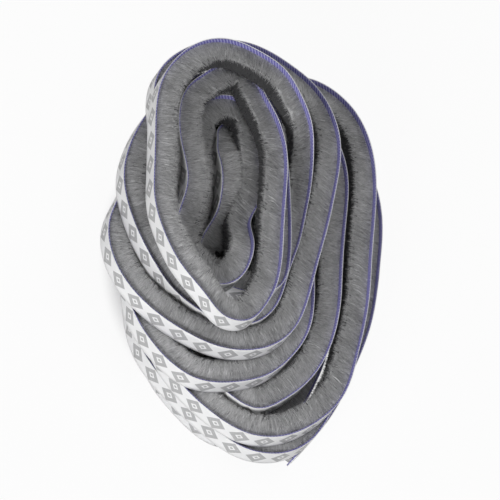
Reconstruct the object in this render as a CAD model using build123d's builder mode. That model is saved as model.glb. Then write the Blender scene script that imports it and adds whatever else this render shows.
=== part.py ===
from build123d import *

import math
import os

os.makedirs("parts", exist_ok=True)

# A self-adhesive brush weatherstrip: one long strip lying as a loose, fanned hank that stands on edge.
# All lengths are in millimetres. The row's origin is under the middle of the hank and +Y is its long way.

# Section of the strip, from the outside of the hank inwards
STRIP_WIDTH = 9.0
LINER_THICKNESS = 0.2
BACKING_THICKNESS = 1.1
PILE_HEIGHT = 8.0
# Loose fibre ends stand this much further out than the dense pile, and neighbouring turns touch there
LOOSE_TIPS = 1.2
STRIP_THICKNESS = LINER_THICKNESS + BACKING_THICKNESS + PILE_HEIGHT + LOOSE_TIPS

# How the turns lie on each other
TURN_CLEARANCE = 0.5
PITCH = STRIP_WIDTH + TURN_CLEARANCE

# How closely the strip is followed: a new section comes after this much bend or this much length
SECTION_BEND = 25.0
SECTION_STEP = 18.0
WALK = 1.0

# Fibres crowd in a bend, so the pile is no taller than this share of the bend's radius
BEND_SHARE = 0.8
# Least turn in one step of the walk, in radians, that still counts as a bend
LEAST_TURN = 0.001

# What is cut off the lowest edge, so that the hank stands on a true plane
FOOT_TRIM = 0.05

# Where the outer face of the strip runs, followed by eye in the photo. A point's x and y are in strip
# thicknesses and its third number is how many strip widths it lies up.
# A list for each turn, from the cut end at the bottom to the end that is hidden inside.
ROUTE = [
 [(2.4,-7.4,0),(3,-6.8,0),(4,-5.6,0),(4.9,-4.1,0),(5.6,-2,0),(6.1,0,0),(6.2,2.1,0),(5.9,4.2,0),
  (4.8,6.2,0),(3.1,7.4,0),(1.2,7.5,0),(-0.8,6.7,0),(-2.2,4.8,0),(-3.1,2.2,0),(-3.5,-0.3,0),(-3.4,-2.7,0),
  (-3,-4.3,0),(-2.1,-5.6,0),(-0.8,-6.7,0)],
 [(0.8,-6.8,0),(2.2,-6.1,0),(3.2,-4.8,0),(4.1,-3,0),(4.6,-0.7,0),(4.8,1.7,0),(4.3,4,0.2),(3.2,5.5,0.6),
  (1.3,6.4,1),(-0.4,6.2,1),(-2,5.1,1),(-3.1,3.1,1),(-3.9,0.7,1),(-4.2,-1.9,1),(-3.9,-3.8,1),(-3,-5.2,1),
  (-1.5,-6.7,1),(0.1,-7.7,1)],
 [(1.9,-7.6,1),(3,-6.8,1),(3.8,-5.6,1),(4.8,-3.9,1),(5.8,-1.7,1),(6.4,0.8,1),(6.7,3.2,1),(6.2,5.5,1),
  (4.9,7.4,1),(3.2,8.4,1),(1.4,8.6,1),(-0.3,8.1,1.5),(-1.7,7,2),(-2.8,5,2),(-3.6,3,2),(-4,1,2),
  (-4.1,-1.5,2),(-3.8,-3.7,2),(-2.9,-5.5,2),(-1.7,-6.7,2),(-0.2,-7.5,2)],
 [(1.4,-7.4,2),(2.7,-6.7,2),(3.8,-5.6,2),(4.6,-3.8,2),(5.3,-1.5,2),(5.7,0.8,2),(6.1,3.1,2),(6.2,5,2),
  (5.5,7.1,2),(3.8,8.2,2),(2,7.9,2),(0.5,7,2),(-0.8,5.6,2),(-1.8,3.8,2),(-2.4,1.7,2),(-2.8,-0.5,2),
  (-2.6,-3.1,2),(-2,-4.8,2),(-1,-5.8,2),(0.2,-6.4,2)],
 [(1.4,-5.9,2),(2.5,-5,2),(3.4,-3.7,2),(4.1,-1.7,2),(4.4,0.2,2),(4.8,2.4,2),(5,4.3,2),(4.3,6.2,2.2),
  (3.1,6.9,2.7),(1.5,6.7,3),(-0.2,6.1,3),(-1.8,4.9,3),(-3.2,3.1,3),(-4.2,1.1,3),(-4.8,-0.9,3),(-4.9,-3,3),
  (-4.1,-4.6,3),(-2.6,-5.8,3),(-0.8,-5.8,3)],
 [(0.4,-5.4,3),(1.4,-4.6,3),(2.3,-3.3,3),(2.7,-1.5,3),(2.8,0.3,3),(2.8,2.3,3),(2.8,3.9,3.2),(2.4,5.3,3.8),
  (1.4,6.2,4),(0,6.6,4),(-1.4,6.5,4),(-2.8,5.2,4),(-4.1,3.5,4),(-5.2,1.5,4),(-5.9,0,4),(-5.8,-1.6,4),
  (-4.8,-3.2,4),(-3.3,-4.3,4),(-1.7,-4.9,4)],
 [(0.1,-4.7,4),(1.3,-3.8,4),(1.9,-2.7,4),(2.5,-1,4),(3.1,0.7,4),(3.7,2.7,4),(4,4.8,4),(3.3,6.5,4.2),
  (1.7,7.3,4.9),(0,7.5,5.7),(-1.7,7.3,6),(-3.2,6.6,6),(-4.1,5.6,6),(-4.4,4.2,6),(-4.4,3,6),(-4.4,2.2,5.9),
  (-4.4,1.3,5.4),(-4.3,0.5,5),(-4.1,-0.4,5),(-3.5,-1.4,5),(-2.6,-2.3,5),(-1.5,-2.8,5)],
 [(-0.4,-2.9,5),(0.5,-2.5,5),(1,-1.3,5),(1.2,0.3,5),(1.3,2.2,5),(1.3,3.7,5),(1.1,5.1,5),(0.5,6.1,5),
  (-0.5,6.4,5),(-1.7,6.4,5),(-3,5.7,5),(-4.2,4.5,5),(-5.1,3,5),(-5.5,1.6,5),(-5.4,0.2,5),(-5,-1.1,5),
  (-4.4,-2,4.7),(-3.6,-2.7,4.2),(-2.7,-3.3,4)],
 [(-1.6,-3.8,4),(-0.3,-3.7,4),(0.7,-2.8,4),(1.3,-1.4,4),(1.9,0,4),(2.2,1,4),(2.4,2,4.3),(2.4,3.2,5),
  (2.1,4.2,5.9),(1.4,5.1,6.7),(0.8,5.8,7),(-0.2,6.5,7),(-1.5,6.9,7),(-2.7,6.6,7),(-3.6,5.9,7),
  (-4.4,4.7,7),(-4.8,2.8,7),(-5,1,7),(-5.1,-0.3,7),(-4.8,-1.8,7),(-4.2,-3.1,7),(-3.3,-4.1,6.8),
  (-2.4,-4.6,6.2)],
 [(-1.4,-4.6,6),(-0.6,-3.9,6),(0.1,-2.5,6),(0.4,-0.9,6),(0.7,1,6),(0.9,2.7,6),(0.7,4.1,6),(0.2,5.3,6),
  (-0.3,6.2,6),(-1.2,6.4,6),(-2.1,5.9,6),(-2.9,5.2,6),(-3.4,3.9,6),(-3.4,2.5,6),(-3.3,1.3,6),(-3.6,0.2,6),
  (-4,-1.1,6),(-3.8,-2.1,6),(-3.2,-2.9,6),(-2.3,-3.2,6)],
 [(-1.5,-2.8,6),(-1,-2,6),(-0.7,-1,5.7),(-0.5,0.1,5.1),(0.1,1.2,5),(0.3,2.2,5),(0.3,3.3,5),(0.3,4.4,5),
  (-0.1,5.2,5),(-0.9,5.5,5),(-1.8,5.2,5),(-2.4,4.4,5),(-2.7,3.3,5),(-2.7,2.1,4.9),(-2.8,1,4.5),
  (-3,0.1,4.1),(-3.1,-0.9,4),(-2.7,-1.8,4),(-2,-2.4,4)],
 [(-1.1,-2.5,4),(-0.3,-2.1,4),(0.2,-1.1,4),(0.6,0.4,4),(0.8,1.8,4),(0.9,2.9,4),(0.8,3.8,4),(0.5,4.6,4),
  (-0.3,5,4),(-1,4.6,4),(-1.3,3.9,4.4),(-1.5,3.1,4.8),(-1.5,2.5,5),(-1.5,1.8,5),(-1.6,1.1,4.9),
  (-1.7,0.6,4.6),(-1.9,0.2,4.2),(-2.1,-0.2,3.8),(-2.1,-0.7,3.4),(-1.7,-1.4,2.7)],
 [(-1.2,-2,2.2),(-0.3,-2.4,2),(0.9,-2.1,2),(2.1,-1.1,2),(2.8,0.4,2),(3.1,2,2),(3,3.5,2),(2.7,4.7,2.2),
  (1.8,5.5,2.7),(1,5.4,3),(0.4,4.8,3),(0.1,4.1,3),(0,3.3,3),(-0.1,2.5,3),(-0.3,1.7,3),(-0.6,0.9,3),
  (-0.9,0.2,2.7),(-1,-0.4,2.1),(-0.7,-1.1,1.4)],
 [(0.1,-1.5,1),(1.2,-1.3,1),(2.3,-0.4,1),(2.9,0.8,1),(3.1,2,1),(3.1,3,1),(2.8,3.8,1),(2,4.1,1),
  (1.2,3.8,1.5),(0.9,3,1.9),(0.7,2.3,2),(0.5,1.5,2),(0.3,0.8,2),(0.3,0.3,2)],
]


def sections(route):
    """Planes across the strip, X into the hank and Y up, how far along each is and how deep its bend is."""
    planes, walked, rooms = [], [], []
    steps = math.ceil(route.length / WALK)
    bend, gone, heading = 0.0, 0.0, None
    for step in range(steps + 1):
        tangent = route % (step / steps)
        ahead = Vector(tangent.X, tangent.Y, 0).normalized()
        turned = math.acos(min(1.0, ahead.dot(heading or ahead)))
        bend += math.degrees(turned)
        gone += WALK
        heading = ahead
        if step in (0, steps) or bend >= SECTION_BEND or gone >= SECTION_STEP:
            point = route @ (step / steps)
            foot = (point.X, point.Y, max(0, point.Z) - FOOT_TRIM)
            planes.append(Plane(origin=foot, x_dir=Vector(0, 0, 1).cross(ahead), z_dir=ahead))
            walked.append(step * WALK)
            rooms.append(BEND_SHARE * WALK / max(turned, LEAST_TURN))
            bend, gone = 0.0, 0.0
    return planes, walked, rooms


def layer(start, depth):
    """One layer of the strip between two depths under its outer face, walled between its corner lines."""
    corners = [(start, 0), (start + depth, 0), (start + depth, STRIP_WIDTH), (start, STRIP_WIDTH)]
    edges = [
        Edge.make_spline(
            [plane.from_local_coords((min(deep, room), up)) for plane, room in zip(PLANES, ROOMS)],
            parameters=WALKED,
        )
        for deep, up in corners
    ]
    walls = [Face.make_surface_from_curves(a, b) for a, b in zip(edges, edges[1:] + edges[:1])]
    ends = [Face(Wire.make_polygon([edge @ end for edge in edges], close=True)) for end in (0, 1)]
    with BuildPart() as made:
        add(Solid(Shell(walls + ends)))
        split(bisect_by=Plane.XY, keep=Keep.TOP)
    return made


with BuildLine() as traced:
    line = Spline(*[
        (x * STRIP_THICKNESS, y * STRIP_THICKNESS, level * PITCH) for turn in ROUTE for x, y, level in turn
    ])
middle = line.bounding_box().center()
PLANES, WALKED, ROOMS = sections(line.moved(Location((-middle.X, -middle.Y, 0))))

liner = layer(0, LINER_THICKNESS)
liner.part.label = "release_liner"
export_step(liner.part, "parts/release_liner.step")

backing = layer(LINER_THICKNESS, BACKING_THICKNESS)
backing.part.label = "woven_backing"
export_step(backing.part, "parts/woven_backing.step")

pile = layer(LINER_THICKNESS + BACKING_THICKNESS, PILE_HEIGHT)
pile.part.label = "brush_pile"
export_step(pile.part, "parts/brush_pile.step")

print("strip length", round(line.length), "sections", len(PLANES))
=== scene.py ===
import math

import bpy
import numpy as np
from bpy.props import FloatProperty, FloatVectorProperty, IntProperty, PointerProperty
from mathutils import Matrix, Vector


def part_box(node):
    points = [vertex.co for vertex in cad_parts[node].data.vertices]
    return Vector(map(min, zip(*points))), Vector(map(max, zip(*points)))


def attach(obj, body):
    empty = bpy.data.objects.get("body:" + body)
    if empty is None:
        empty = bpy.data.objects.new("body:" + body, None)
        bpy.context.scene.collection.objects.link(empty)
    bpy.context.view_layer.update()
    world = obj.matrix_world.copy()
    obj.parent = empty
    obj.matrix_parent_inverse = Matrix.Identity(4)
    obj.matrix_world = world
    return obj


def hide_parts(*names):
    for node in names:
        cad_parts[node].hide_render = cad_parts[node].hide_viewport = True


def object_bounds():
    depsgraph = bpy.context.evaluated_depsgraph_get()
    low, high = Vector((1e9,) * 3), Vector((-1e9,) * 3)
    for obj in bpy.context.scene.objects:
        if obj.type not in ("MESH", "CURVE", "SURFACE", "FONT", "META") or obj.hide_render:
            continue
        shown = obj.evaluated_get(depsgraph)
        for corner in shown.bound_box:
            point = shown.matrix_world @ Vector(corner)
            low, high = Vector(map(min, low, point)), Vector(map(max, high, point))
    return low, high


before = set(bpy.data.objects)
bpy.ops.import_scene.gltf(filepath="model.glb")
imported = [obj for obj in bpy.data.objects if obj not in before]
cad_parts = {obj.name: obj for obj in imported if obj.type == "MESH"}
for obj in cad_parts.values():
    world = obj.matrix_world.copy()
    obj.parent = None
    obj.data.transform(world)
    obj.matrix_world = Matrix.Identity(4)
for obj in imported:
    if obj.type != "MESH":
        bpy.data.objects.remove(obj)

bl_info = {
    "name": "Brush Strip Hank",
    "version": (1, 0, 0),
    "blender": (4, 5, 0),
    "location": "3D View > Sidebar > Brush Strip",
    "description": "Dresses a loose hank of self-adhesive brush weatherstrip over its CAD frame",
    "category": "Object",
}

CAD_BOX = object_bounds()

# Where the outer face of the strip runs: x and y in strip thicknesses, then how many strip widths up.
# These are the part's own points, a list for each turn, from the cut end to the end that is hidden inside.
ROUTE = [
 [(2.4,-7.4,0),(3,-6.8,0),(4,-5.6,0),(4.9,-4.1,0),(5.6,-2,0),(6.1,0,0),(6.2,2.1,0),(5.9,4.2,0),
  (4.8,6.2,0),(3.1,7.4,0),(1.2,7.5,0),(-0.8,6.7,0),(-2.2,4.8,0),(-3.1,2.2,0),(-3.5,-0.3,0),(-3.4,-2.7,0),
  (-3,-4.3,0),(-2.1,-5.6,0),(-0.8,-6.7,0)],
 [(0.8,-6.8,0),(2.2,-6.1,0),(3.2,-4.8,0),(4.1,-3,0),(4.6,-0.7,0),(4.8,1.7,0),(4.3,4,0.2),(3.2,5.5,0.6),
  (1.3,6.4,1),(-0.4,6.2,1),(-2,5.1,1),(-3.1,3.1,1),(-3.9,0.7,1),(-4.2,-1.9,1),(-3.9,-3.8,1),(-3,-5.2,1),
  (-1.5,-6.7,1),(0.1,-7.7,1)],
 [(1.9,-7.6,1),(3,-6.8,1),(3.8,-5.6,1),(4.8,-3.9,1),(5.8,-1.7,1),(6.4,0.8,1),(6.7,3.2,1),(6.2,5.5,1),
  (4.9,7.4,1),(3.2,8.4,1),(1.4,8.6,1),(-0.3,8.1,1.5),(-1.7,7,2),(-2.8,5,2),(-3.6,3,2),(-4,1,2),
  (-4.1,-1.5,2),(-3.8,-3.7,2),(-2.9,-5.5,2),(-1.7,-6.7,2),(-0.2,-7.5,2)],
 [(1.4,-7.4,2),(2.7,-6.7,2),(3.8,-5.6,2),(4.6,-3.8,2),(5.3,-1.5,2),(5.7,0.8,2),(6.1,3.1,2),(6.2,5,2),
  (5.5,7.1,2),(3.8,8.2,2),(2,7.9,2),(0.5,7,2),(-0.8,5.6,2),(-1.8,3.8,2),(-2.4,1.7,2),(-2.8,-0.5,2),
  (-2.6,-3.1,2),(-2,-4.8,2),(-1,-5.8,2),(0.2,-6.4,2)],
 [(1.4,-5.9,2),(2.5,-5,2),(3.4,-3.7,2),(4.1,-1.7,2),(4.4,0.2,2),(4.8,2.4,2),(5,4.3,2),(4.3,6.2,2.2),
  (3.1,6.9,2.7),(1.5,6.7,3),(-0.2,6.1,3),(-1.8,4.9,3),(-3.2,3.1,3),(-4.2,1.1,3),(-4.8,-0.9,3),(-4.9,-3,3),
  (-4.1,-4.6,3),(-2.6,-5.8,3),(-0.8,-5.8,3)],
 [(0.4,-5.4,3),(1.4,-4.6,3),(2.3,-3.3,3),(2.7,-1.5,3),(2.8,0.3,3),(2.8,2.3,3),(2.8,3.9,3.2),(2.4,5.3,3.8),
  (1.4,6.2,4),(0,6.6,4),(-1.4,6.5,4),(-2.8,5.2,4),(-4.1,3.5,4),(-5.2,1.5,4),(-5.9,0,4),(-5.8,-1.6,4),
  (-4.8,-3.2,4),(-3.3,-4.3,4),(-1.7,-4.9,4)],
 [(0.1,-4.7,4),(1.3,-3.8,4),(1.9,-2.7,4),(2.5,-1,4),(3.1,0.7,4),(3.7,2.7,4),(4,4.8,4),(3.3,6.5,4.2),
  (1.7,7.3,4.9),(0,7.5,5.7),(-1.7,7.3,6),(-3.2,6.6,6),(-4.1,5.6,6),(-4.4,4.2,6),(-4.4,3,6),(-4.4,2.2,5.9),
  (-4.4,1.3,5.4),(-4.3,0.5,5),(-4.1,-0.4,5),(-3.5,-1.4,5),(-2.6,-2.3,5),(-1.5,-2.8,5)],
 [(-0.4,-2.9,5),(0.5,-2.5,5),(1,-1.3,5),(1.2,0.3,5),(1.3,2.2,5),(1.3,3.7,5),(1.1,5.1,5),(0.5,6.1,5),
  (-0.5,6.4,5),(-1.7,6.4,5),(-3,5.7,5),(-4.2,4.5,5),(-5.1,3,5),(-5.5,1.6,5),(-5.4,0.2,5),(-5,-1.1,5),
  (-4.4,-2,4.7),(-3.6,-2.7,4.2),(-2.7,-3.3,4)],
 [(-1.6,-3.8,4),(-0.3,-3.7,4),(0.7,-2.8,4),(1.3,-1.4,4),(1.9,0,4),(2.2,1,4),(2.4,2,4.3),(2.4,3.2,5),
  (2.1,4.2,5.9),(1.4,5.1,6.7),(0.8,5.8,7),(-0.2,6.5,7),(-1.5,6.9,7),(-2.7,6.6,7),(-3.6,5.9,7),
  (-4.4,4.7,7),(-4.8,2.8,7),(-5,1,7),(-5.1,-0.3,7),(-4.8,-1.8,7),(-4.2,-3.1,7),(-3.3,-4.1,6.8),
  (-2.4,-4.6,6.2)],
 [(-1.4,-4.6,6),(-0.6,-3.9,6),(0.1,-2.5,6),(0.4,-0.9,6),(0.7,1,6),(0.9,2.7,6),(0.7,4.1,6),(0.2,5.3,6),
  (-0.3,6.2,6),(-1.2,6.4,6),(-2.1,5.9,6),(-2.9,5.2,6),(-3.4,3.9,6),(-3.4,2.5,6),(-3.3,1.3,6),(-3.6,0.2,6),
  (-4,-1.1,6),(-3.8,-2.1,6),(-3.2,-2.9,6),(-2.3,-3.2,6)],
 [(-1.5,-2.8,6),(-1,-2,6),(-0.7,-1,5.7),(-0.5,0.1,5.1),(0.1,1.2,5),(0.3,2.2,5),(0.3,3.3,5),(0.3,4.4,5),
  (-0.1,5.2,5),(-0.9,5.5,5),(-1.8,5.2,5),(-2.4,4.4,5),(-2.7,3.3,5),(-2.7,2.1,4.9),(-2.8,1,4.5),
  (-3,0.1,4.1),(-3.1,-0.9,4),(-2.7,-1.8,4),(-2,-2.4,4)],
 [(-1.1,-2.5,4),(-0.3,-2.1,4),(0.2,-1.1,4),(0.6,0.4,4),(0.8,1.8,4),(0.9,2.9,4),(0.8,3.8,4),(0.5,4.6,4),
  (-0.3,5,4),(-1,4.6,4),(-1.3,3.9,4.4),(-1.5,3.1,4.8),(-1.5,2.5,5),(-1.5,1.8,5),(-1.6,1.1,4.9),
  (-1.7,0.6,4.6),(-1.9,0.2,4.2),(-2.1,-0.2,3.8),(-2.1,-0.7,3.4),(-1.7,-1.4,2.7)],
 [(-1.2,-2,2.2),(-0.3,-2.4,2),(0.9,-2.1,2),(2.1,-1.1,2),(2.8,0.4,2),(3.1,2,2),(3,3.5,2),(2.7,4.7,2.2),
  (1.8,5.5,2.7),(1,5.4,3),(0.4,4.8,3),(0.1,4.1,3),(0,3.3,3),(-0.1,2.5,3),(-0.3,1.7,3),(-0.6,0.9,3),
  (-0.9,0.2,2.7),(-1,-0.4,2.1),(-0.7,-1.1,1.4)],
 [(0.1,-1.5,1),(1.2,-1.3,1),(2.3,-0.4,1),(2.9,0.8,1),(3.1,2,1),(3.1,3,1),(2.8,3.8,1),(2,4.1,1),
  (1.2,3.8,1.5),(0.9,3,1.9),(0.7,2.3,2),(0.5,1.5,2),(0.3,0.8,2),(0.3,0.3,2)],
]

# How the camera sees the hank: the image's right and up, the pixels a metre and where the origin lands
IMAGE_RIGHT = Vector((0.9282, -0.0882, 0.3608))
IMAGE_UP = Vector((-0.0886, 0.8906, 0.4457))
IMAGE_SIZE = 500
PIXELS_PER_METRE = 2500
ORIGIN_PIXEL = (220.1, 279.3)

# How the route is followed: metres from one sample to the next, metres that a heading looks ahead and back,
# samples on each side that share the sharpest bend among them, and what a straight run or an outward bend
# counts as, in radians a metre
ROUTE_SPACING = 0.0002
HEADING_REACH = 0.0006
BEND_SAMPLES = 16
LEAST_TURN = 1.0

# What each use of chance adds to the user's seed, so that it has draws of its own
SEED_STEPS = {
    "paper_liner": 0, "twill_backing": 1, "pile_body": 2, "pile_top": 3, "pile_under": 4,
    "pile_tips": 5, "pile_fluff": 6, "combing": 7,
}


class StripSizes(bpy.types.PropertyGroup):
    """Sizes of the strip and of the fibres on it"""
    width: FloatProperty(
        name="Strip width", description="Height of the standing strip", default=0.009,
        unit="LENGTH", precision=5)
    clearance: FloatProperty(
        name="Gap between turns", description="Air between one turn and the next", default=0.0005,
        unit="LENGTH", precision=5)
    liner: FloatProperty(
        name="Liner", description="Thickness of the paper liner", default=0.0002,
        unit="LENGTH", precision=5)
    backing: FloatProperty(
        name="Backing", description="Thickness of the woven backing", default=0.0011,
        unit="LENGTH", precision=5)
    weave: FloatProperty(
        name="Weave", description="Thickness of the woven tape, which stands free beside the pile's root",
        default=0.0005, unit="LENGTH", precision=5)
    overhang: FloatProperty(
        name="Liner overhang", description="How far the liner stands out beyond the tape's edges",
        default=0.0001, unit="LENGTH", precision=5)
    pile: FloatProperty(
        name="Pile", description="Height of the pile with its loose tips", default=0.0092,
        unit="LENGTH", precision=5)
    root: FloatProperty(
        name="Pile root", description="Width of the pile where it leaves the backing", default=0.0046,
        unit="LENGTH", precision=5)
    bend_share: FloatProperty(
        name="Bend share", description="Most of a bend's radius that the pile fills", default=0.92,
        min=0.1, max=1)
    step: FloatProperty(
        name="Section spacing", description="Distance between the sections of the bands", default=0.0012,
        unit="LENGTH", precision=5)
    mark_pitch: FloatProperty(
        name="Mark pitch", description="Distance between the marks on the liner", default=0.0108,
        unit="LENGTH", precision=5)
    fibre: FloatProperty(
        name="Fibre", description="Width of a bundle of fibres", default=0.00032,
        unit="LENGTH", precision=5)

    def pile_reach(self):
        """Depths of the pile's root and tips, and how far the root stands in from each edge of the strip."""
        return self.liner + self.weave, self.liner + self.backing + self.pile, (self.width - self.root) / 2


class StripCounts(bpy.types.PropertyGroup):
    """How many fibres there are, and how they fall"""
    top: IntProperty(
        name="Top fibres", description="Bundles along the upper side", default=60000, min=0)
    under: IntProperty(
        name="Under fibres", description="Bundles along the lower side", default=20000, min=0)
    fluff: IntProperty(
        name="Fluff", description="Single fibres strewn over the upper side", default=180000, min=0)
    tips: IntProperty(
        name="Tips", description="Bundle ends on the face of the pile", default=64000, min=0)
    seed: IntProperty(
        name="Seed", description="Picks another lie of the fibres", default=11, min=0)


class StripColours(bpy.types.PropertyGroup):
    """Colours of the fibres, the tape and the paper, and the painted shade on the face of the pile"""
    pile_light: FloatVectorProperty(
        name="Pile light", description="Lit fibres", subtype="COLOR",
        default=(0.68, 0.68, 0.686), min=0, max=1)
    # Dark streaks of the pile: partly darker bundles at random, partly painted shade in the gaps between
    # bundles
    pile_dark: FloatVectorProperty(
        name="Pile dark", description="Gaps between bundles", subtype="COLOR",
        default=(0.11, 0.11, 0.113), min=0, max=1)
    # Painted shade: the near-black of the pile's face between the ends of the fibres, where that face lies
    # in shade
    pile_face_shade: FloatVectorProperty(
        name="Pile face shade", description="Between the ends of the fibres", subtype="COLOR",
        default=(0.045, 0.045, 0.047), min=0, max=1)
    thread: FloatVectorProperty(
        name="Thread", description="Dyed threads of the backing", subtype="COLOR",
        default=(0.06, 0.052, 0.30), min=0, max=1)
    thread_pale: FloatVectorProperty(
        name="Pale thread", description="Undyed threads of the backing", subtype="COLOR",
        default=(0.42, 0.41, 0.66), min=0, max=1)
    paper: FloatVectorProperty(
        name="Paper", description="Bare liner", subtype="COLOR",
        default=(0.80, 0.80, 0.805), min=0, max=1)
    mark: FloatVectorProperty(
        name="Mark", description="Print on the liner", subtype="COLOR",
        default=(0.40, 0.40, 0.405), min=0, max=1)


class StripLine:
    """The lower edge of the strip's outer face, followed evenly from its cut end.

    Its room is how deep a layer can reach at each sample before it meets itself inside a bend.
    """

    def __init__(self, sizes):
        across = sizes.liner + sizes.backing + sizes.pile
        up = sizes.width + sizes.clearance
        knots = np.array([(x * across, y * across, level * up) for turn in ROUTE for x, y, level in turn])
        reach = length_so_far(knots)
        curve = natural_spline(reach, knots, np.linspace(0, reach[-1], int(reach[-1] / ROUTE_SPACING)))
        curve[:, 2] = np.maximum(curve[:, 2], 0)
        low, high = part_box("release_liner")
        middle = (curve[:, :2].min(axis=0) + curve[:, :2].max(axis=0)) / 2
        curve[:, :2] += np.array([(low.x + high.x) / 2, (low.y + high.y) / 2]) - middle
        self.curve, self.gone = curve, length_so_far(curve)
        self.length = self.gone[-1]
        self.walked = np.linspace(0, self.length, max(2, round(self.length / sizes.step)))
        self.room = sizes.bend_share / self.sharpest_turns()

    def sharpest_turns(self):
        """The sharpest inward turn around each sample, in radians a metre, eased into its neighbours."""
        course = np.unwrap(np.arctan2(*np.gradient(self.curve[:, :2], axis=0).T[::-1]))
        turned = np.maximum(np.gradient(course, self.gone), LEAST_TURN)
        window = 2 * BEND_SAMPLES + 1
        around = np.lib.stride_tricks.sliding_window_view(np.pad(turned, BEND_SAMPLES, mode="edge"), window)
        sharpest = np.pad(around.max(axis=1), BEND_SAMPLES, mode="edge")
        easing = np.hanning(window + 2)[1:-1]
        return np.convolve(sharpest, easing / easing.sum(), mode="valid")

    def place(self, walked):
        """The lower edge's places at these lengths."""
        return np.stack([np.interp(walked, self.gone, values) for values in self.curve.T], axis=1)

    def at(self, walked):
        """Places, headings in plan and directions into the hank at these lengths."""
        ahead, behind = self.place(walked + HEADING_REACH), self.place(walked - HEADING_REACH)
        heading = (ahead - behind)[:, :2]
        heading /= np.linalg.norm(heading, axis=1)[:, None]
        flat = np.zeros(len(heading))
        along = np.column_stack([heading, flat])
        inward = np.column_stack([-heading[:, 1], heading[:, 0], flat])
        return self.place(walked), along, inward

    def points(self, walked, depth, height, slip=0.0):
        """Points at these lengths, depths under the outer face, heights and slips along the strip."""
        place, along, inward = self.at(walked)
        depth = np.minimum(depth, np.interp(walked, self.gone, self.room))
        point = place + inward * column(depth, walked) + along * column(slip, walked)
        point[:, 2] += height
        return point


def column(value, like):
    """A value for each row of points."""
    return np.broadcast_to(value, like.shape)[:, None]


def length_so_far(points):
    """How long the line through these points is at each of them."""
    return np.concatenate([[0], np.cumsum(np.linalg.norm(np.diff(points, axis=0), axis=1))])


def natural_spline(knots, values, wanted):
    """The cubic curve through the values with free ends."""
    gaps = np.diff(knots)
    count = len(knots)
    system = np.eye(count)
    right = np.zeros_like(values)
    slopes = np.diff(values, axis=0) / gaps[:, None]
    for i in range(1, count - 1):
        system[i, i - 1:i + 2] = gaps[i - 1], 2 * (gaps[i - 1] + gaps[i]), gaps[i]
        right[i] = 6 * (slopes[i] - slopes[i - 1])
    bend = np.linalg.solve(system, right)
    cell = np.clip(np.searchsorted(knots, wanted) - 1, 0, count - 2)
    before = (wanted - knots[cell])[:, None]
    after = (knots[cell + 1] - wanted)[:, None]
    gap = gaps[cell][:, None]
    return (
        (bend[cell] * after ** 3 + bend[cell + 1] * before ** 3) / (6 * gap)
        + (values[cell] / gap - bend[cell] * gap / 6) * after
        + (values[cell + 1] / gap - bend[cell + 1] * gap / 6) * before
    )


def chance(use):
    """Random draws for one piece alone, from the seed that the user picks."""
    return np.random.default_rng(bpy.context.scene.strip_counts.seed + SEED_STEPS[use])


def drift(walked, spacing, rng):
    """A smooth random wander from -1 to 1 along the strip."""
    knots = rng.uniform(-1, 1, int(walked.max() / spacing) + 3)
    place = walked / spacing
    cell = place.astype(int)
    ease = 0.5 - 0.5 * np.cos(np.pi * (place - cell))
    return knots[cell] * (1 - ease) + knots[cell + 1] * ease


def mesh_object(name, points, faces, strip_map, material, smooth=True):
    """An object of equal-sided faces, with its own map of the strip."""
    mesh = bpy.data.meshes.new(name)
    mesh.vertices.add(len(points))
    mesh.vertices.foreach_set("co", points.astype(np.float32).ravel())
    mesh.loops.add(faces.size)
    mesh.loops.foreach_set("vertex_index", faces.astype(np.int32).ravel())
    mesh.polygons.add(len(faces))
    mesh.polygons.foreach_set("loop_start", np.arange(0, faces.size, faces.shape[1], dtype=np.int32))
    mesh.polygons.foreach_set("use_smooth", np.full(len(faces), smooth))
    layer = mesh.uv_layers.new(name="strip")
    layer.data.foreach_set("uv", strip_map.astype(np.float32).ravel())
    mesh.update(calc_edges=True)
    mesh.validate()
    mesh.materials.append(material)
    piece = bpy.data.objects.new(name, mesh)
    bpy.context.scene.collection.objects.link(piece)
    return piece


def band(name, line, profile, shift, material):
    """A closed band along the whole strip, with this section of depths and heights and this shift of them.

    Its map gives each face's length along the strip and its way round the section.
    """
    profile = np.array(profile)
    rings, sides = len(line.walked), len(profile)
    walked = np.repeat(line.walked, sides)
    depth, height = np.tile(profile.T, rings)
    deeper, higher = shift(walked, depth, height)
    depth, height = depth + deeper, height + higher

    ring = np.arange(rings - 1)[:, None] * sides
    side = np.arange(sides)[None, :]
    near, far = ring + side, ring + (side + 1) % sides
    faces = np.stack([near, far, far + sides, near + sides], axis=2).reshape(-1, 4)
    here, there = line.walked[:-1, None], line.walked[1:, None]
    round_it = length_so_far(np.vstack([profile, profile[:1]]))[None, :]
    start, stop = round_it[:, :-1], round_it[:, 1:]
    strip_map = np.stack([
        np.stack(np.broadcast_arrays(length, way), axis=2)
        for length, way in ((here, start), (here, stop), (there, stop), (there, start))
    ], axis=2).reshape(-1, 2)

    caps = []
    for first, flip in ((0, False), ((rings - 1) * sides, True)):
        for i in range(sides // 2 - 1):
            cap = [first + i, first + sides - 1 - i, first + sides - 2 - i, first + i + 1]
            caps.append(cap[::-1] if flip else cap)
    caps = np.array(caps)
    cap_map = np.stack([walked[caps], depth[caps] + height[caps]], axis=2).reshape(-1, 2)
    return mesh_object(
        name, line.points(walked, depth, height), np.concatenate([faces, caps]),
        np.concatenate([strip_map, cap_map]), material)


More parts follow.
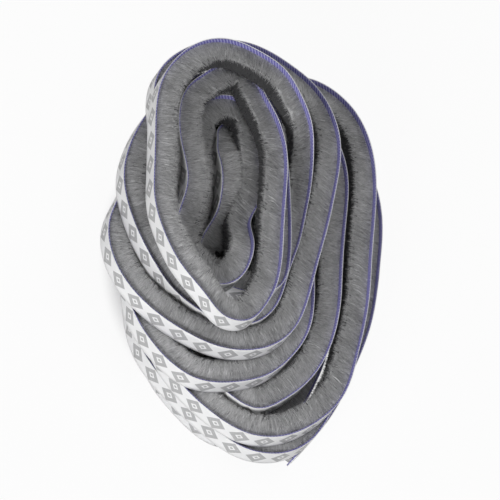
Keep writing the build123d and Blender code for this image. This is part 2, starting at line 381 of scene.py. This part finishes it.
def blades(name, line, walked, root, tip, wide, turn, sway, material, rng):
    """Bent, pointed bundles of fibres, from root to tip as depths, heights and slips.

    Each is three triangles: two to its waist, which the sway pushes aside and up, and one to its point. The
    scatter gives each bundle its own streak of the material.
    """
    waist_share, waist_lift = 0.55, 0.5
    shade_scatter = 0.0006
    foot, head = line.points(walked, *root), line.points(walked, *tip)
    flat = line.at(walked)[1] * np.cos(turn)[:, None]
    flat[:, 2] += np.sin(turn)
    waist = foot * (1 - waist_share) + head * waist_share + flat * sway[:, None]
    waist[:, 2] += np.abs(sway) * waist_lift
    aside = flat * wide / 2
    points = np.stack([foot - aside, foot + aside, waist - aside, waist + aside, head], axis=1)
    each = points.shape[1]
    points = points.reshape(-1, 3)
    points[:, 2] = np.maximum(points[:, 2], 0)
    corners = np.array([(0, 1, 3), (0, 3, 2), (2, 3, 4)])
    faces = (np.arange(len(walked))[:, None, None] * each + corners).reshape(-1, 3)
    shade = walked + rng.uniform(-shade_scatter, shade_scatter, len(walked))
    low, high = np.broadcast_to(root[0], walked.shape), np.broadcast_to(tip[0], walked.shape)
    middle = (low + high) / 2
    rows = np.stack([low, low, middle, middle, high], axis=1)[:, corners]
    strip_map = np.stack([np.broadcast_to(shade[:, None, None], rows.shape), rows], axis=3).reshape(-1, 2)
    return mesh_object(name, points, faces, strip_map, material, smooth=False)


def finish_piece(piece, slot, *nodes):
    """Gives the piece its body and hides the solids that it takes the place of. The slot is not used."""
    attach(piece, "root")
    if nodes:
        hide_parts(*nodes)


class Nodes:
    """Short ways to add and join the nodes of one tree."""

    def __init__(self, tree):
        self.tree = tree
        tree.nodes.clear()

    def add(self, kind, values=(), **settings):
        node = self.tree.nodes.new(kind)
        for key, value in settings.items():
            setattr(node, key, value)
        for key, value in dict(values).items():
            self.feed(node.inputs[key], value)
        return node

    def feed(self, socket, value):
        if isinstance(value, bpy.types.NodeSocket):
            self.tree.links.new(value, socket)
        else:
            socket.default_value = value

    def maths(self, operation, first, second=0.0, third=0.0):
        values = {0: first, 1: second, 2: third}
        return self.add("ShaderNodeMath", values, operation=operation).outputs[0]

    def vector(self, operation, first, second=(0, 0, 0)):
        return self.add("ShaderNodeVectorMath", {0: first, 1: second}, operation=operation).outputs

    def blend(self, amount, first, second):
        """A mix of two colours, whose sockets go by number because every kind of mix has an A and a B."""
        node = self.add("ShaderNodeMix", {0: amount, 6: first, 7: second}, data_type="RGBA")
        return node.outputs[2]

    def spread(self, value, low, high, to_low=0.0, to_high=1.0):
        """The value eased from one range to another, which may run backwards."""
        values = {"Value": value, "From Min": low, "From Max": high, "To Min": to_low, "To Max": to_high}
        return self.add("ShaderNodeMapRange", values, interpolation_type="SMOOTHSTEP").outputs["Result"]

    def bump(self, height, strength, distance):
        values = {"Height": height, "Strength": strength, "Distance": distance}
        return self.add("ShaderNodeBump", values).outputs["Normal"]

    def seen(self):
        """1 for what the camera sees, straight or in a gloss, and 0 for the light between surfaces."""
        path = self.add("ShaderNodeLightPath").outputs
        through = self.maths("MAXIMUM", path["Is Glossy Ray"], path["Is Transmission Ray"])
        return self.maths("MAXIMUM", path["Is Camera Ray"], through)


def colour(value):
    return (*value, 1.0)


def streaks_group():
    """Long thin light and dark streaks across the strip, such as fibres and threads make."""
    if "strip_streaks" in bpy.data.node_groups:
        return bpy.data.node_groups["strip_streaks"]
    group = bpy.data.node_groups.new("strip_streaks", "ShaderNodeTree")
    group.interface.new_socket("Vector", in_out="INPUT", socket_type="NodeSocketVector")
    for title, default in (("Along", 4000.0), ("Across", 150.0), ("Contrast", 0.2)):
        socket = group.interface.new_socket(title, in_out="INPUT", socket_type="NodeSocketFloat")
        socket.default_value = default
    group.interface.new_socket("Streaks", in_out="OUTPUT", socket_type="NodeSocketFloat")
    nodes = Nodes(group)
    given = nodes.add("NodeGroupInput").outputs
    scale = nodes.add("ShaderNodeCombineXYZ", {"X": given["Along"], "Y": given["Across"], "Z": 1.0})
    stretched = nodes.vector("MULTIPLY", given["Vector"], scale.outputs[0])[0]
    noise = nodes.add("ShaderNodeTexNoise", {"Vector": stretched, "Scale": 1.0, "Detail": 2.0})
    low = nodes.maths("SUBTRACT", 0.5, given["Contrast"])
    high = nodes.maths("ADD", 0.5, given["Contrast"])
    nodes.add("NodeGroupOutput", {"Streaks": nodes.spread(noise.outputs["Fac"], low, high)})
    return group


def streaks(nodes, strip, along, across, contrast):
    """The group of streaks in one material: so many a metre along and across the strip, and how marked."""
    values = {"Vector": strip, "Along": along, "Across": across, "Contrast": contrast}
    return nodes.add("ShaderNodeGroup", values, node_tree=streaks_group()).outputs["Streaks"]


def new_material(name, roughness):
    """A material, its nodes, its shader's inputs and the map of the strip."""
    material = bpy.data.materials.new(name)
    material.use_nodes = True
    nodes = Nodes(material.node_tree)
    shader = nodes.add("ShaderNodeBsdfPrincipled", {"Roughness": roughness})
    nodes.add("ShaderNodeOutputMaterial", {"Surface": shader.outputs[0]})
    return material, nodes, shader.inputs, nodes.add("ShaderNodeUVMap", uv_map="strip").outputs[0]


def pile_material(name, dark, light, deep=None, edge=0.0):
    """Grey fibres: fine streaks in clumps, slow light and dark patches, and, when a deep colour is given,
    painted shade that turns the face of the pile to that colour beyond the edge depth.
    """
    fine_share, clump_share, patch_share = 0.55, 0.3, 0.3
    before_edge, past_edge = 0.0002, 0.0012
    material, nodes, shader, strip = new_material(name, 0.82)
    fine = streaks(nodes, strip, along=3600.0, across=330.0, contrast=0.2)
    clump = streaks(nodes, strip, along=900.0, across=120.0, contrast=0.2)
    patch = nodes.add("ShaderNodeTexNoise", {"Vector": strip, "Scale": 42.0, "Detail": 1.0}).outputs["Fac"]
    mixed = nodes.maths("MULTIPLY_ADD", fine, fine_share, nodes.maths("MULTIPLY", clump, clump_share))
    mixed = nodes.maths("MULTIPLY_ADD", patch, patch_share, mixed)
    fibres = nodes.blend(mixed, colour(dark), colour(light))
    # Painted shade: beyond the edge depth the fibres turn to the deep colour, for the face of the pile,
    # which lies in shade
    if deep is not None:
        across = nodes.add("ShaderNodeSeparateXYZ", {0: strip}).outputs[1]
        face_shade_mask = nodes.spread(across, edge - before_edge, edge + past_edge)
        fibres = nodes.blend(face_shade_mask, fibres, colour(deep))
    nodes.feed(shader["Base Color"], fibres)
    nodes.feed(shader["Normal"], nodes.bump(mixed, strength=0.35, distance=0.0003))
    return material


def backing_material(colours):
    """Violet twill: slanting dyed threads over undyed ones."""
    slant, period = 0.55, 0.0014
    twill_share, thread_share, pale_share = 0.55, 0.2, 0.08
    dyed, undyed = -0.4, 0.7
    material, nodes, shader, strip = new_material("violet_backing", 0.7)
    along, across, _ = nodes.add("ShaderNodeSeparateXYZ", {0: strip}).outputs
    slanted = nodes.maths("MULTIPLY_ADD", across, slant, along)
    wave = nodes.maths("SINE", nodes.maths("MULTIPLY", slanted, 2 * math.pi / period))
    twill = nodes.spread(wave, dyed, undyed)
    threads = streaks(nodes, strip, along=3000.0, across=900.0, contrast=0.25)
    pale = nodes.maths("MULTIPLY_ADD", twill, twill_share, pale_share)
    pale = nodes.maths("MULTIPLY_ADD", threads, thread_share, pale)
    nodes.feed(shader["Base Color"], nodes.blend(pale, colour(colours.thread), colour(colours.thread_pale)))
    nodes.feed(shader["Normal"], nodes.bump(twill, strength=0.5, distance=0.0002))
    return material


def liner_material(sizes, colours):
    """Coated white paper with a row of plain grey diamonds, each with a light ring round its heart.

    The outline, ring and heart are shares of the diamond, each from where the print is off to where it is
    on. The wear turns into how much of the print is left and into how rough the paper is.
    """
    half_length, half_height = 0.0045, 0.0041
    outline, ring, heart = (1.04, 0.96), (0.36, 0.44), (0.22, 0.15)
    past_edge, gone = 0.00005, 0.0001
    wear_to_print, wear_to_rough = (0.2, 0.5, 0.75, 1.0), (0.3, 0.7, 0.42, 0.6)
    material, nodes, shader, strip = new_material("printed_liner", 0.5)
    along, across, _ = nodes.add("ShaderNodeSeparateXYZ", {0: strip}).outputs
    cell = nodes.maths("FRACT", nodes.maths("DIVIDE", along, sizes.mark_pitch))
    off_centre = nodes.maths("ABSOLUTE", nodes.maths("SUBTRACT", cell, 0.5))
    sideways = nodes.maths("DIVIDE", nodes.maths("MULTIPLY", off_centre, sizes.mark_pitch), half_length)
    upwards = nodes.maths("ABSOLUTE", nodes.maths("SUBTRACT", across, sizes.width / 2))
    diamond = nodes.maths("ADD", sideways, nodes.maths("DIVIDE", upwards, half_height))
    border = nodes.maths("MULTIPLY", nodes.spread(diamond, *outline), nodes.spread(diamond, *ring))
    mark = nodes.maths("MINIMUM", nodes.maths("ADD", border, nodes.spread(diamond, *heart)), 1.0)
    wear = nodes.add("ShaderNodeTexNoise", {"Vector": strip, "Scale": 900.0, "Detail": 3.0}).outputs["Fac"]
    printed = nodes.maths("MULTIPLY", mark, nodes.spread(wear, *wear_to_print))
    outside = nodes.spread(across, sizes.width + past_edge, sizes.width + gone, 1.0, 0.0)
    printed = nodes.maths("MULTIPLY", printed, outside)
    nodes.feed(shader["Base Color"], nodes.blend(printed, colour(colours.paper), colour(colours.mark)))
    nodes.feed(shader["Roughness"], nodes.spread(wear, *wear_to_rough))
    return material


class HANK_OT_liner(bpy.types.Operator):
    """Lays the paper liner along the outer face of the strip"""
    bl_idname = "hank.lay_liner"
    bl_label = "Liner"

    def execute(self, context):
        sizes, colours = context.scene.strip_sizes, context.scene.strip_colours
        rng = chance("paper_liner")
        wave, swell, rows = 0.009, 0.00006, 7
        heights = np.linspace(0, sizes.width, rows)
        profile = [(0, height) for height in heights] + [(sizes.liner, height) for height in heights[::-1]]

        def ripple(walked, depth, height):
            return drift(walked, wave, rng) * swell * (height > sizes.width / 2), 0 * walked

        piece = band("paper_liner", StripLine(sizes), profile, ripple, liner_material(sizes, colours))
        finish_piece(piece, "liner", "release_liner")
        return {"FINISHED"}


class HANK_OT_backing(bpy.types.Operator):
    """Lays the woven backing between liner and pile"""
    bl_idname = "hank.lay_backing"
    bl_label = "Backing"

    def execute(self, context):
        sizes, colours = context.scene.strip_sizes, context.scene.strip_colours
        rng = chance("twill_backing")
        near, far = sizes.liner, sizes.liner + sizes.weave
        low, high = sizes.overhang, sizes.width - sizes.overhang
        soft, stitch, uneven = 0.00012, 0.0024, 0.00005
        profile = [
            (near, low + soft), (near, high - soft), (near + soft, high), (far - soft, high),
            (far, high - soft), (far, low + soft), (far - soft, low), (near + soft, low),
        ]

        def selvedge(walked, depth, height):
            return 0 * walked, drift(walked, stitch, rng) * uneven * (height > sizes.width / 2)

        piece = band("twill_backing", StripLine(sizes), profile, selvedge, backing_material(colours))
        finish_piece(piece, "backing", "woven_backing")
        return {"FINISHED"}


class HANK_OT_pile(bpy.types.Operator):
    """Stands the dense inside of the pile on the backing"""
    bl_idname = "hank.stand_pile"
    bl_label = "Pile"

    def execute(self, context):
        sizes, colours = context.scene.strip_sizes, context.scene.strip_colours
        rng = chance("pile_body")
        behind_tips, under_sides, under_root, crown = 0.0015, 0.0005, 0.0002, 0.0001
        face_tuft, face_rough, slant = 0.0011, 0.00022, 0.37
        side_tuft, side_rough = 0.0009, 0.0001
        side_rows, face_rows = 5, 6
        root, tip, margin = sizes.pile_reach()
        tip -= behind_tips
        top, low = sizes.width - under_sides, under_sides
        deep = np.linspace(root, tip, side_rows)
        rise = np.linspace(sizes.width - margin - under_root, top, side_rows)
        profile = list(zip(deep, rise))
        profile += [(tip + crown, height) for height in np.linspace(top, low, face_rows)[1:-1]]
        profile += list(zip(deep[::-1], sizes.width - rise[::-1]))

        def tufts(walked, depth, height):
            grown = (depth - root) / sizes.pile
            ragged = drift(walked + height * slant, face_tuft, rng) * face_rough
            return ragged * grown, drift(walked + depth, side_tuft, rng) * side_rough * grown

        # The body's face, beyond the depth of the tips, gets painted shade in the face shade colour
        dark, light, painted_face_shade = colours.pile_dark, colours.pile_light, colours.pile_face_shade
        material = pile_material("pile_inside_face_shaded", dark, light, painted_face_shade, tip - root)
        piece = band("pile_body", StripLine(sizes), profile, tufts, material)
        finish_piece(piece, "pile", "brush_pile")
        return {"FINISHED"}


# Where fibres are laid, the values are metres, apart from turns, in radians, and what multiplies a length


class PileBed:
    """Where the fibres stand: the strip's line, the depths of their roots and tips, and their combing."""

    def __init__(self, sizes):
        rng = chance("combing")
        sunk = 0.0001
        slow, slow_lean = 0.02, 0.26
        quick, quick_lean = 0.005, 0.13
        self.width, self.fibre = sizes.width, sizes.fibre
        self.line = StripLine(sizes)
        root, tip, self.margin = sizes.pile_reach()
        self.root, self.tip = root - sunk, tip - sunk
        walked = self.line.walked
        self.combed = drift(walked, slow, rng) * slow_lean + drift(walked, quick, rng) * quick_lean

    def scatter(self, count, rng):
        """Places for this many fibres, in order along the strip."""
        return np.sort(rng.uniform(0, self.line.length, count))

    def comb(self, walked):
        """How far along the strip a fibre leans for each metre of its depth."""
        return np.interp(walked, self.line.walked, self.combed)


def side_bundles(name, bed, count, material, upper):
    """Bundles that lie along the upper or the lower side of the pile, gathered in tufts.

    The foot and the head are how far under the strip's edge each starts and ends.
    """
    tuft_spacing, tuft_reach, tuft_lean, tuft_droop = 0.0008, 0.0004, 0.0003, 0.3
    short, ragged, stray, droop = 0.0004, 0.0006, 0.00035, 0.0009
    root_inset, root_scatter = 0.0004, 0.0003
    turn, sway = 0.35, 0.0002
    rng = chance(name)
    walked = bed.scatter(count, rng)
    tuft = drift(walked, tuft_spacing, rng)
    reach = bed.tip - np.abs(rng.normal(0, ragged, count)) - short + tuft * tuft_reach
    lean = bed.comb(walked) * reach + tuft * tuft_lean + rng.normal(0, stray, count)
    foot = bed.margin - rng.uniform(0, root_scatter, count) + root_inset
    head = np.abs(rng.normal(0, droop, count)) * (1 - tuft_droop * tuft)
    if upper:
        foot, head = bed.width - foot, bed.width - head
    return blades(
        name, bed.line, walked, (bed.root, foot, 0 * walked), (reach, head, lean), bed.fibre,
        rng.normal(0, turn, count), rng.normal(0, sway, count), material, rng)


def face_bundles(name, bed, count, material):
    """The ends of bundles, turned every way, all over the face of the pile."""
    tuft_spacing, tuft_slant, tuft_reach = 0.0009, 0.2, 0.0003
    above_foot, below_top, past_top = 0.0004, 0.0003, 0.0002
    length, ragged, stray, thin = 0.0026, 0.0005, 0.0004, 0.9
    rng = chance(name)
    walked = bed.scatter(count, rng)
    height = rng.uniform(above_foot, bed.width - below_top, count)
    tuft = drift(walked + height * tuft_slant, tuft_spacing, rng)
    reach = bed.tip - np.abs(rng.normal(0, ragged, count)) + tuft * tuft_reach
    root = bed.tip - length
    comb = bed.comb(walked)
    lean = comb * reach + rng.normal(0, stray, count)
    rise = np.clip(height + rng.normal(0, stray, count), 0, bed.width + past_top)
    return blades(
        name, bed.line, walked, (root, height, comb * root), (reach, rise, lean), bed.fibre * thin,
        rng.uniform(0, math.pi, count), 0 * walked, material, rng)


def strewn_fibres(name, bed, count, material):
    """Single fibres that lie a little crooked over the upper side, each a triangle of its own.

    They climb with the side from its root to its edge, and droop where they come near the tips.
    """
    first, last = 0.0009, bed.tip - 0.002
    shortest, longest = 0.002, 0.0042
    crooked, swirl_spacing, swirl = 0.16, 0.002, 0.1
    past_tip, ragged = 0.0001, 0.0004
    sunk, lifted, loose, past_top = 0.0001, 0.0001, 0.0003, 0.0003
    bend_from, most_bend = 0.001, 1.2
    half_wide, shade_scatter = 0.35, 0.003
    line, rng = bed.line, chance(name)
    walked = bed.scatter(count, rng)
    start = rng.uniform(first, last, count)
    long = rng.uniform(shortest, longest, count)
    slant = rng.normal(0, crooked, count) + drift(walked, swirl_spacing, rng) * swirl
    comb = bed.comb(walked)
    end = np.minimum(start + long, bed.tip + rng.normal(past_tip, ragged, count))
    root_height, climb = bed.width - bed.margin, bed.margin / bed.tip
    low = root_height + start * climb - sunk
    droop = np.clip(end - bed.tip + bend_from, 0, None) * rng.uniform(0, most_bend, count)
    high = root_height + end * climb + rng.normal(lifted, loose, count) - droop
    high = np.minimum(high, bed.width + past_top)
    foot = line.points(walked, start, low, comb * start)
    head = line.points(walked, end, high, comb * end + slant * (end - start))
    aside = line.at(walked)[1] * bed.fibre * half_wide
    points = np.stack([foot - aside, foot + aside, head], axis=1).reshape(-1, 3)
    faces = np.arange(count * 3).reshape(-1, 3)
    shade = walked + rng.uniform(-shade_scatter, shade_scatter, count)
    rows = np.stack([start, start, end], axis=1)
    strip_map = np.stack([np.broadcast_to(shade[:, None], rows.shape), rows], axis=2).reshape(-1, 2)
    return mesh_object(name, points, faces, strip_map, material, smooth=False)


class HANK_OT_fibres(bpy.types.Operator):
    """Combs bundles of fibres over the upper side, the lower side and the face of the pile"""
    bl_idname = "hank.comb_fibres"
    bl_label = "Fibres"

    def execute(self, context):
        colours, counts = context.scene.strip_colours, context.scene.strip_counts
        bed = PileBed(context.scene.strip_sizes)
        lit = pile_material("pile_fibres", colours.pile_dark, colours.pile_light)
        # Painted shade: the bundle ends on the face of the pile get a darker copy of the lit fibres'
        # material, from the face shade to the dark streak colour, as that face lies in shade
        ends = pile_material("pile_ends_shaded", colours.pile_face_shade, colours.pile_dark)
        for piece in (
            side_bundles("pile_top", bed, counts.top, lit, upper=True),
            side_bundles("pile_under", bed, counts.under, lit, upper=False),
            strewn_fibres("pile_fluff", bed, counts.fluff, lit),
            face_bundles("pile_tips", bed, counts.tips, ends),
        ):
            finish_piece(piece, "pile")
        return {"FINISHED"}


class HANK_OT_stage(bpy.types.Operator):
    """Sets the floor, the lamps and the camera"""
    bl_idname = "hank.set_stage"
    bl_label = "Stage"

    def execute(self, context):
        scene = context.scene
        self.floor(scene)
        self.world(scene)
        self.lamps(scene)
        self.camera(scene)
        scene.view_settings.view_transform = "Standard"
        return {"FINISHED"}

    def floor(self, scene):
        """White paper that takes a real shadow under the hank and glows white around it."""
        reach, drop = 3.0, 0.0002
        shaded, bright = 0.6, 0.8
        glow_share = 0.93
        material = bpy.data.materials.new("floor_white")
        material.use_nodes = True
        nodes = Nodes(material.node_tree)
        matt = nodes.add("ShaderNodeBsdfPrincipled", {"Base Color": (0.9, 0.9, 0.9, 1), "Roughness": 0.9})
        glow = nodes.add("ShaderNodeEmission", {"Color": (1, 1, 1, 1), "Strength": 1.0})
        low, high = CAD_BOX
        middle, half = (low + high) / 2, (high - low) / 2
        place = nodes.add("ShaderNodeNewGeometry").outputs["Position"]
        apart = nodes.vector("SUBTRACT", place, (middle.x, middle.y, 0))[0]
        shrunk = nodes.vector("MULTIPLY", apart, (1 / half.x, 1 / half.y, 0))[0]
        away = nodes.vector("LENGTH", shrunk)["Value"]
        white = nodes.maths("MULTIPLY", nodes.seen(), nodes.spread(away, shaded, bright, 0.0, glow_share))
        both = nodes.add("ShaderNodeMixShader", {0: white, 1: matt.outputs[0], 2: glow.outputs[0]})
        nodes.add("ShaderNodeOutputMaterial", {"Surface": both.outputs[0]})
        mesh = bpy.data.meshes.new("floor")
        corners = [(-reach, -reach, 0), (reach, -reach, 0), (reach, reach, 0), (-reach, reach, 0)]
        mesh.from_pydata(corners, [], [(0, 1, 2, 3)])
        mesh.materials.append(material)
        floor = bpy.data.objects.new("floor", mesh)
        scene.collection.objects.link(floor)
        floor.location.z = CAD_BOX[0].z - drop

    def world(self, scene):
        """White where it is seen, and dim as a light."""
        dim = 0.14
        world = bpy.data.worlds.new("studio")
        scene.world = world
        world.use_nodes = True
        nodes = Nodes(world.node_tree)
        strength = nodes.maths("MULTIPLY_ADD", nodes.seen(), 1 - dim, dim)
        sky = nodes.add("ShaderNodeBackground", {"Color": (1, 1, 1, 1), "Strength": strength})
        nodes.add("ShaderNodeOutputWorld", {"Surface": sky.outputs[0]})

    def lamps(self, scene):
        """Round lamps that look at the hank, each with its place, its width and its power in watts."""
        back = IMAGE_RIGHT.cross(IMAGE_UP)
        for name, place, width, power in (
            ("key", back * 0.95 - IMAGE_UP * 0.4 - IMAGE_RIGHT * 0.32, 0.45, 7.4),
            ("fill", back * 0.9 + IMAGE_UP * 0.3 + IMAGE_RIGHT * 0.3, 0.7, 2.0),
            ("rear", Vector((0.6, 0.8, 0.35)), 0.6, 3.6),
        ):
            lamp = bpy.data.lights.new(name, "AREA")
            lamp.shape = "DISK"
            lamp.size = width
            lamp.energy = power
            holder = bpy.data.objects.new(name, lamp)
            holder.location = place
            holder.rotation_mode = "QUATERNION"
            holder.rotation_quaternion = place.to_track_quat("Z", "Y")
            scene.collection.objects.link(holder)

    def camera(self, scene):
        """A long lens that sees the hank as the photo does."""
        lens, sensor = 420.0, 36.0
        nearest, farthest = 0.05, 20.0
        right = IMAGE_RIGHT.normalized()
        back = right.cross(IMAGE_UP).normalized()
        up = back.cross(right)
        aside = (IMAGE_SIZE / 2 - ORIGIN_PIXEL[0]) / PIXELS_PER_METRE
        above = (ORIGIN_PIXEL[1] - IMAGE_SIZE / 2) / PIXELS_PER_METRE
        middle = Vector((0, 0, CAD_BOX[1].z / 2)).dot(back)
        distance = IMAGE_SIZE / PIXELS_PER_METRE * lens / sensor
        data = bpy.data.cameras.new("photo_camera")
        data.lens, data.sensor_width = lens, sensor
        data.clip_start, data.clip_end = nearest, farthest
        camera = bpy.data.objects.new("photo_camera", data)
        place = right * aside + up * above + back * (distance + middle)
        camera.matrix_world = Matrix.Translation(place) @ Matrix((right, up, back)).transposed().to_4x4()
        scene.collection.objects.link(camera)
        scene.camera = camera


class HANK_PT_panel(bpy.types.Panel):
    """Lists the strip's sizes, counts and colours, and the steps that build it"""
    bl_label = "Brush Strip"
    bl_idname = "HANK_PT_panel"
    bl_space_type = "VIEW_3D"
    bl_region_type = "UI"
    bl_category = "Brush Strip"

    def draw(self, context):
        for group in (context.scene.strip_sizes, context.scene.strip_counts, context.scene.strip_colours):
            for key in group.__annotations__:
                self.layout.prop(group, key)
        for operator in OPERATORS:
            self.layout.operator(operator.bl_idname)


GROUPS = {"strip_sizes": StripSizes, "strip_counts": StripCounts, "strip_colours": StripColours}
OPERATORS = (HANK_OT_liner, HANK_OT_backing, HANK_OT_pile, HANK_OT_fibres, HANK_OT_stage)


def register():
    for made in (*GROUPS.values(), *OPERATORS, HANK_PT_panel):
        bpy.utils.register_class(made)
    for name, group in GROUPS.items():
        setattr(bpy.types.Scene, name, PointerProperty(type=group))


def unregister():
    for name in GROUPS:
        delattr(bpy.types.Scene, name)
    for made in (HANK_PT_panel, *OPERATORS[::-1], *GROUPS.values()):
        bpy.utils.unregister_class(made)


def main():
    register()
    bpy.ops.hank.lay_liner()
    bpy.ops.hank.lay_backing()
    bpy.ops.hank.stand_pile()
    bpy.ops.hank.comb_fibres()
    bpy.ops.hank.set_stage()


if __name__ == "__main__":
    main()
